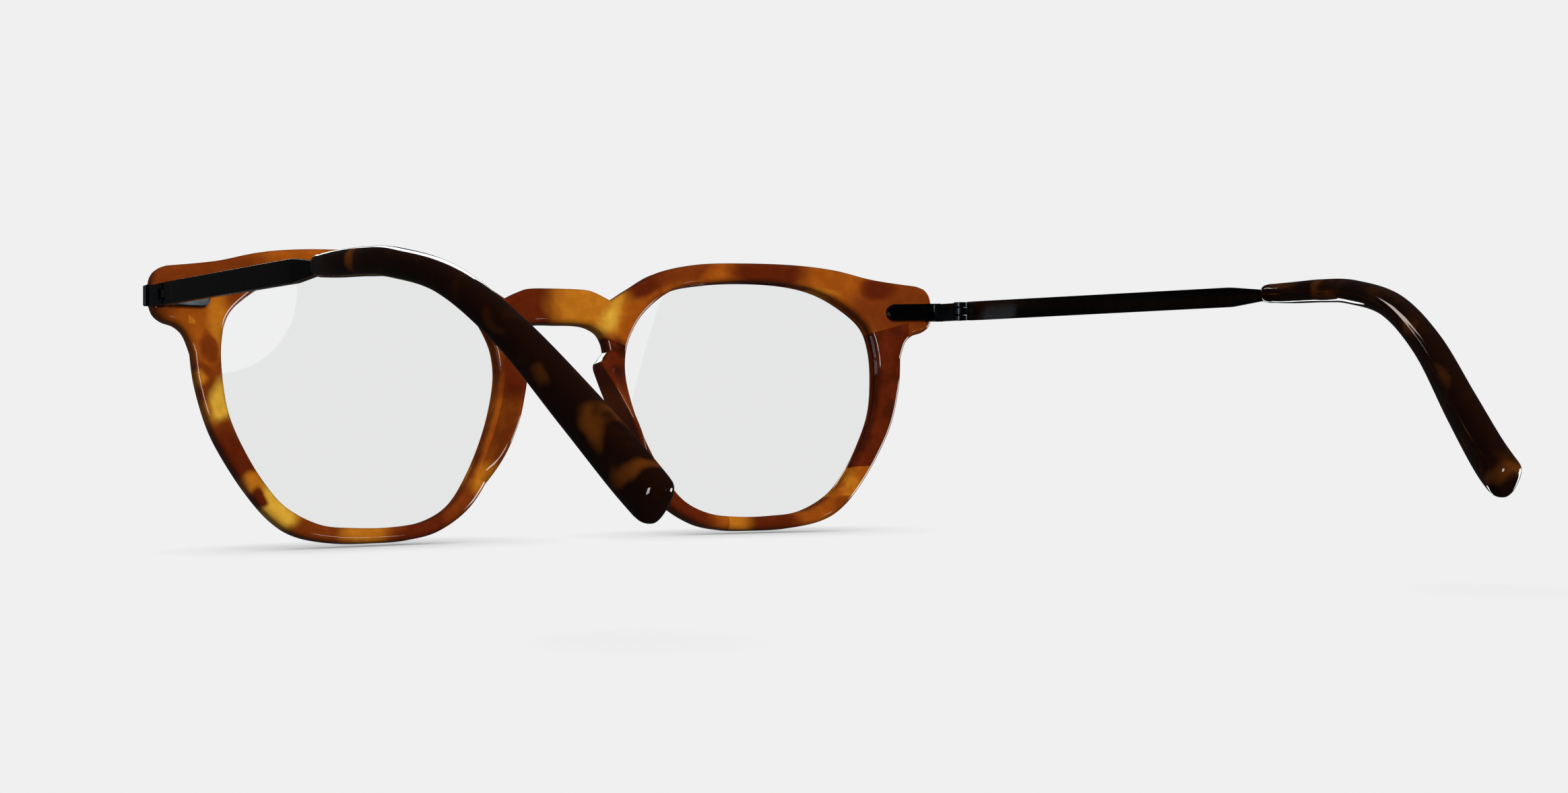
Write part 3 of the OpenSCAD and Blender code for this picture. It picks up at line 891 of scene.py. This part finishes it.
def hard_patches(nodes, flat):
    """Sheets of darker acetate that were cut straight before bonding: a colour and a mask each."""
    edge = 0.06
    split = nodes.add("SeparateXYZ", {"Vector": flat})
    x, up = split.outputs["X"], split.outputs["Z"]

    def above(slope, level):
        """1 over the line up = slope * x + level."""
        leaning = nodes.math("SUBTRACT", up, nodes.math("MULTIPLY", x, slope))
        return nodes.ramp(leaning, level - edge, level + edge)

    def below(slope, level):
        """1 under the line up = slope * x + level."""
        return nodes.math("SUBTRACT", 1.0, above(slope, level))

    def between(low, high):
        """1 where x is from low to high."""
        over = nodes.ramp(x, low - edge, low + edge)
        under = nodes.math("SUBTRACT", 1.0, nodes.ramp(x, high - edge, high + edge))
        return nodes.math("MULTIPLY", over, under)

    def overlap(*masks):
        """1 where every mask is 1."""
        shared = masks[0]
        for mask in masks[1:]:
            shared = nodes.math("MULTIPLY", shared, mask)
        return shared

    shade = nodes.noise(flat, 0.3, 2).outputs["Fac"]
    dark = nodes.blend(nodes.ramp(shade, 0.4, 0.65), DARK_RED, BLACK_BROWN)
    red = nodes.blend(nodes.ramp(shade, 0.4, 0.65), DARK_RED, DEEP_RED)
    honey = nodes.blend(nodes.ramp(shade, 0.4, 0.6), ORANGE, AMBER)
    nose_side = overlap(below(0.42, 13.1), above(0.42, 4.2), between(-13.6, -4), nodes.ramp(up, 3.0, 6.5))
    temple_side_top = overlap(below(-0.25, -3.6), above(0, -4.0), between(-63, -56.2))
    temple_side = overlap(above(0, -12.6), below(0, -3.9), below(-2.42, -136), between(-64, -50))
    lower_corner = overlap(below(0, -12.6), above(0, -17.5), between(-56, -46))
    hinge_corner = overlap(below(0.9, -44.6), above(0.1, 3.9), between(61.3, 62.3))
    under_lens = overlap(nodes.ramp(x, -33.5, -30), below(0, -17), between(-35, -28.2))
    return [
        (dark, nose_side),
        (red, temple_side_top),
        (red, temple_side),
        (honey, lower_corner),
        (AMBER, hinge_corner),
        (AMBER, under_lens),
    ]


# Clouds of a tip: [back from its front end, up], [half length, half width], turn, strength
TIP_CLOUDS = {
    "left": [
        ((12.3, 0.2), (0.9, 1.5), 10, 0.8),
        ((44.5, -12.6), (1.1, 0.6), -40, 0.3),
        ((51.2, -17.6), (2.1, 0.8), -62, 0.6),
        ((55.6, -21.6), (2.1, 0.8), 38, 0.55),
        ((38.5, -7.3), (1.4, 0.5), -40, 0.12),
    ],
    "right": [
        ((13.2, 0.3), (0.8, 1.6), 0, 0.45),
        ((16.0, -0.9), (1.9, 0.6), -5, 0.4),
        ((5, 1.2), (2.6, 0.6), 0, 0.25),
        ((35.5, -6), (1.7, 0.6), -38, 0.35),
        ((44.5, -12), (2.2, 0.5), -42, 0.2),
        ((50, -12.9), (1.4, 0.5), -42, 0.4),
        ((55.6, -18.8), (2.4, 0.6), -46, 0.4),
        ((57.5, -23.4), (2.6, 0.8), 20, 0.5),
    ],
}
TIP_CLOUD_SOFTNESS = 0.7


def tip_material(side):
    """Near-black tortoise with a few long amber clouds."""
    nodes = Nodes(f"dark_tortoise_acetate_{side}")
    place = acetate_base(nodes)
    start = (0, (HINGE_Y + TIP_BACK) * MM, HINGE_Z * MM)
    flat = nodes.placed(place, start, (MM, MM, MM))
    swap = nodes.add("SeparateXYZ", {"Vector": flat})
    back, sideways, up = (swap.outputs[axis] for axis in "YXZ")
    lying = nodes.add("CombineXYZ", {"X": back, "Y": sideways, "Z": up}).outputs[0]
    warped = nodes.warped(lying, 0.25, 3)
    clouds = nodes.noise(lying, 0.16, 3, 0.6).outputs["Fac"]
    colour = nodes.blend(nodes.ramp(clouds, 0.5, 0.8), TIP_BLACK, TIP_BROWN)
    for where, size, turn, strength in TIP_CLOUDS[side]:
        mask = nodes.patch(warped, where, size, turn, TIP_CLOUD_SOFTNESS)
        colour = nodes.blend(nodes.math("MULTIPLY", mask, strength), colour, TIP_AMBER)
    nodes.link("Base Color", colour)
    return nodes.material


def metal_material(name, colour, roughness):
    """Satin plating: fine drawn grain in the roughness, and a faint unevenness."""
    nodes = Nodes(name)
    nodes.set(Metallic=1.0, Base_Color=(*colour, 1))
    place = nodes.add("TexCoord").outputs["Object"]
    along = nodes.placed(place, (0, 0, 0), (1.2 * MM, 20 * MM, 0.6 * MM))
    grain = nodes.noise(along, 9, 3, 0.6).outputs["Fac"]
    nodes.link("Roughness", nodes.math("MULTIPLY_ADD", grain, 0.08, roughness))
    cast = nodes.noise(place, 700, 2).outputs["Fac"]
    lighter = tuple(c * 1.6 for c in colour)
    nodes.link("Base Color", nodes.blend(nodes.ramp(cast, 0.35, 0.75), colour, lighter))
    nodes.bump(grain, 0.03, 0.0001)
    return nodes.material


def lens_material():
    """Clear demo lens; lamps reach what is behind it."""
    nodes = Nodes("clear_lens")
    nodes.set(Base_Color=(*LENS_TINT, 1), IOR=1.5, Transmission_Weight=1.0, Roughness=0.0)
    place = nodes.add("TexCoord").outputs["Object"]
    wave = nodes.noise(place, 60, 1).outputs["Fac"]
    nodes.bump(wave, 0.02, 0.0003)
    clear = nodes.add("BsdfTransparent")
    clear.inputs["Color"].default_value = (*LENS_SHADOW, 1)
    shadow_ray = nodes.add("LightPath").outputs["Is Shadow Ray"]
    mix = nodes.add("MixShader", {0: shadow_ray, 1: nodes.shader.outputs[0], 2: clear.outputs[0]})
    out = nodes.tree.nodes["Material Output"]
    nodes.tree.links.new(mix.outputs[0], out.inputs["Surface"])
    return nodes.material


# ---------------------------------------------------------------- the pieces
tortoise = tortoise_material()
black = metal_material("black_satin_metal", BLACK_METAL, 0.22)
screw_steel = metal_material("dark_screw_steel", SCREW_STEEL, 0.3)
clear_lens = lens_material()


def dress(piece, material, body, node):
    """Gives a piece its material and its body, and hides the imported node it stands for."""
    piece.data.materials.append(material)
    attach(piece, body)
    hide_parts(node)


front = make_piece("acetate_front", *front_mesh(), crease=40)
dress(front, tortoise, "front", "front_frame")

pieces = {}
for name, side in SIDES.items():
    lens = make_piece(f"demo_lens_{name}", *lens_mesh(), side, 40)
    dress(lens, clear_lens, "front", f"lens_{name}")
    pad = make_piece(f"bonded_pad_{name}", *nose_pad_mesh(), side, 50)
    dress(pad, tortoise, "front", f"nose_pad_{name}")
    bracket = make_piece(f"riveted_bracket_{name}", *bracket_mesh(), side, 30)
    dress(bracket, black, "front", f"hinge_bracket_{name}")
    temple = f"{name}_temple"
    arm = make_piece(f"flat_arm_{name}", *arm_mesh(), side, 30)
    dress(arm, black, temple, f"temple_arm_{name}")
    tip = make_piece(f"acetate_tip_{name}", *tip_mesh(), side, 50)
    dress(tip, tip_material(name), temple, f"temple_tip_{name}")
    for kind, piece in (("lens", lens), ("pad", pad), ("bracket", bracket), ("arm", arm), ("tip", tip)):
        pieces[f"{kind}_{name}"] = piece
    for node in (f"hinge_screw_{name}", f"bracket_rivets_{name}"):
        steel = frame["nodes"][node]
        steel.data.materials.clear()
        steel.data.materials.append(screw_steel)

# ---------------------------------------------------------------- stage, camera and light
scene = bpy.context.scene
scene.view_settings.view_transform = "Standard"

PALE = 0.871  # the surround as the camera sees it
AMBIENT = 0.22  # what the background lights the object with
FLOOR_BOUNCE = 0.2  # what the floor lights it with
MIRRORED = 0.02  # the surround in a mirror image, since the lamps make the highlights
CAMERA_PLACE = (148.34, 264.21, 22.8)
CAMERA_TURN = 150.574
CAMERA_LENS = 51.61
FLOOR_REACH = 4.0  # metres
FLOOR_DROP = 0.0002
# Reach and depth of the painted contact shadow on the floor
CONTACT_SHADOW_REACH = 0.016
CONTACT_SHADOW_DEPTH = 0.75

camera = bpy.data.objects.new("camera", bpy.data.cameras.new("camera"))
scene.collection.objects.link(camera)
camera.location = [v * MM for v in CAMERA_PLACE]
camera.rotation_euler = (math.radians(90), 0, math.radians(CAMERA_TURN))
camera.data.lens = CAMERA_LENS
camera.data.sensor_width = 36
camera.data.clip_start = 0.01
camera.data.clip_end = 200
scene.camera = camera

floor_mesh = bpy.data.meshes.new("floor")
floor_corners = [(x * FLOOR_REACH, y * FLOOR_REACH, 0) for x, y in ((-1, -1), (1, -1), (1, 1), (-1, 1))]
floor_mesh.from_pydata(floor_corners, [], [(0, 1, 2, 3)])
floor = bpy.data.objects.new("floor", floor_mesh)
scene.collection.objects.link(floor)
floor.location.z = -FLOOR_DROP
floor.visible_glossy = False
floor.visible_shadow = False
floor_nodes = Nodes("pale_floor")
floor_nodes.set(Base_Color=(0, 0, 0, 1), Roughness=1.0, Specular_IOR_Level=0.0, Emission_Color=(1, 1, 1, 1))
# Painted contact shadow: the floor's glow is dimmed by ambient occlusion where the frame comes near it
contact_shadow_ao = floor_nodes.add("AmbientOcclusion", samples=16)
contact_shadow_ao.inputs["Distance"].default_value = CONTACT_SHADOW_REACH
covered = floor_nodes.math("SUBTRACT", 1.0, contact_shadow_ao.outputs["AO"])
shadow = floor_nodes.math("MULTIPLY", covered, CONTACT_SHADOW_DEPTH)


def brightness(nodes, lit):
    """How bright a pale surround is: PALE seen directly or through a lens, MIRRORED in a gloss, else lit."""
    path = nodes.add("LightPath").outputs
    seen = nodes.math("MAXIMUM", path["Is Camera Ray"], path["Is Transmission Ray"])
    unmirrored = nodes.math("LESS_THAN", path["Glossy Depth"], 0.5)
    undiffused = nodes.math("LESS_THAN", path["Diffuse Depth"], 0.5)
    direct = nodes.math("MULTIPLY", seen, nodes.math("MULTIPLY", unmirrored, undiffused))
    bounced = nodes.math("ADD", nodes.math("MULTIPLY", unmirrored, lit - MIRRORED), MIRRORED)
    unseen = nodes.math("MULTIPLY", bounced, nodes.math("SUBTRACT", 1.0, direct))
    return nodes.math("ADD", unseen, nodes.math("MULTIPLY", direct, PALE))


floor_glow = brightness(floor_nodes, FLOOR_BOUNCE)
unshadowed = floor_nodes.math("SUBTRACT", 1.0, shadow)
floor_nodes.link("Emission Strength", floor_nodes.math("MULTIPLY", floor_glow, unshadowed))
floor_mesh.materials.append(floor_nodes.material)

world = bpy.data.worlds.new("studio")
scene.world = world
world.use_nodes = True
sky = Nodes.of_tree(world.node_tree)
background = sky.tree.nodes["Background"]
background.inputs["Color"].default_value = (1, 1, 1, 1)
sky.tree.links.new(brightness(sky, AMBIENT), background.inputs["Strength"])


def softbox(name, azimuth, elevation, distance, size, power, aim=(0, -40, 25), roll=0):
    """A rectangular light aimed at the frame; azimuth 0 is behind the wearer, 90 at the wearer's left."""
    lamp = bpy.data.objects.new(name, bpy.data.lights.new(name, "AREA"))
    lamp.data.shape = "RECTANGLE"
    lamp.data.size, lamp.data.size_y = (v * MM for v in size)
    lamp.data.energy = power
    scene.collection.objects.link(lamp)
    a, e = math.radians(azimuth), math.radians(elevation)
    away = Vector((math.sin(a) * math.cos(e), math.cos(a) * math.cos(e), math.sin(e)))
    target = Vector(aim) * MM
    lamp.location = target + away * distance * MM
    spin = Quaternion((0, 0, 1), math.radians(roll))
    lamp.rotation_euler = (away.to_track_quat("Z", "Y") @ spin).to_euler()
    return lamp


def highlights_only(lamp):
    """A lamp that shows as a reflection but doesn't light the pieces."""
    lamp.visible_diffuse = False
    lamp.visible_transmission = False
    return lamp


def no_highlights(lamp):
    """A lamp that lights the pieces but shows in no reflection."""
    lamp.visible_glossy = False
    lamp.visible_transmission = False
    return lamp


def only_on(lamp, *pieces):
    """A highlight that only some pieces catch, as a small reflector held close would give."""
    held = bpy.data.collections.new(lamp.name + "_pieces")
    for piece in pieces:
        held.objects.link(piece)
    lamp.light_linking.receiver_collection = held
    return highlights_only(lamp)


# What the lamps are aimed at
BRIDGE_SHELF = (-7, -71, 28)
LEFT_BEND = (67, 48, 36)
RIGHT_BEND = (-67, 48, 36)
LEFT_PLATE = (62, -66, 38)

# Broad light on everything
no_highlights(softbox("face_fill", 4, 20, 1200, (800, 600), 20))
no_highlights(softbox("front_fill", 180, 30, 1200, (800, 600), 14))
no_highlights(softbox("top_fill", 0, 80, 1000, (900, 900), 5))

# Highlights that any piece may catch
highlights_only(softbox("strip_left", 66, -2, 900, (220, 420), 2.4))
highlights_only(softbox("strip_right", 280, -12, 900, (420, 420), 4.5))
highlights_only(softbox("under_light", 331, -14, 900, (70, 70), 0.1))
shelf = highlights_only(softbox("shelf_light", 184, 19, 500, (80, 60), 0.05, BRIDGE_SHELF))
shelf.data.color = (0.85, 1.0, 0.95)

# Highlights on the tips, the left plate and the lenses
only_on(softbox("tip_top", 202, 26, 400, (145, 120), 0.2, LEFT_BEND), pieces["tip_left"])
only_on(softbox("tip_low", 192, -25, 900, (440, 100), 0.8, RIGHT_BEND, roll=18), pieces["tip_right"])
tip_bend = softbox("tip_bend", 154, 37, 900, (70, 420), 0.55, RIGHT_BEND, roll=-8)
tip_bend.data.color = (1.0, 0.85, 0.76)
only_on(tip_bend, pieces["tip_right"])
only_on(softbox("plate_light", -38, 14, 900, (200, 200), 1.0, LEFT_PLATE), pieces["bracket_left"])
glow = softbox("lens_glow", -48, 3, 900, (330, 234), 0.35)
glow.data.shape = "ELLIPSE"
only_on(glow, pieces["lens_left"])
only_on(softbox("lens_wedge", 323, 1, 900, (240, 400), 0.45, roll=-28), pieces["lens_right"])
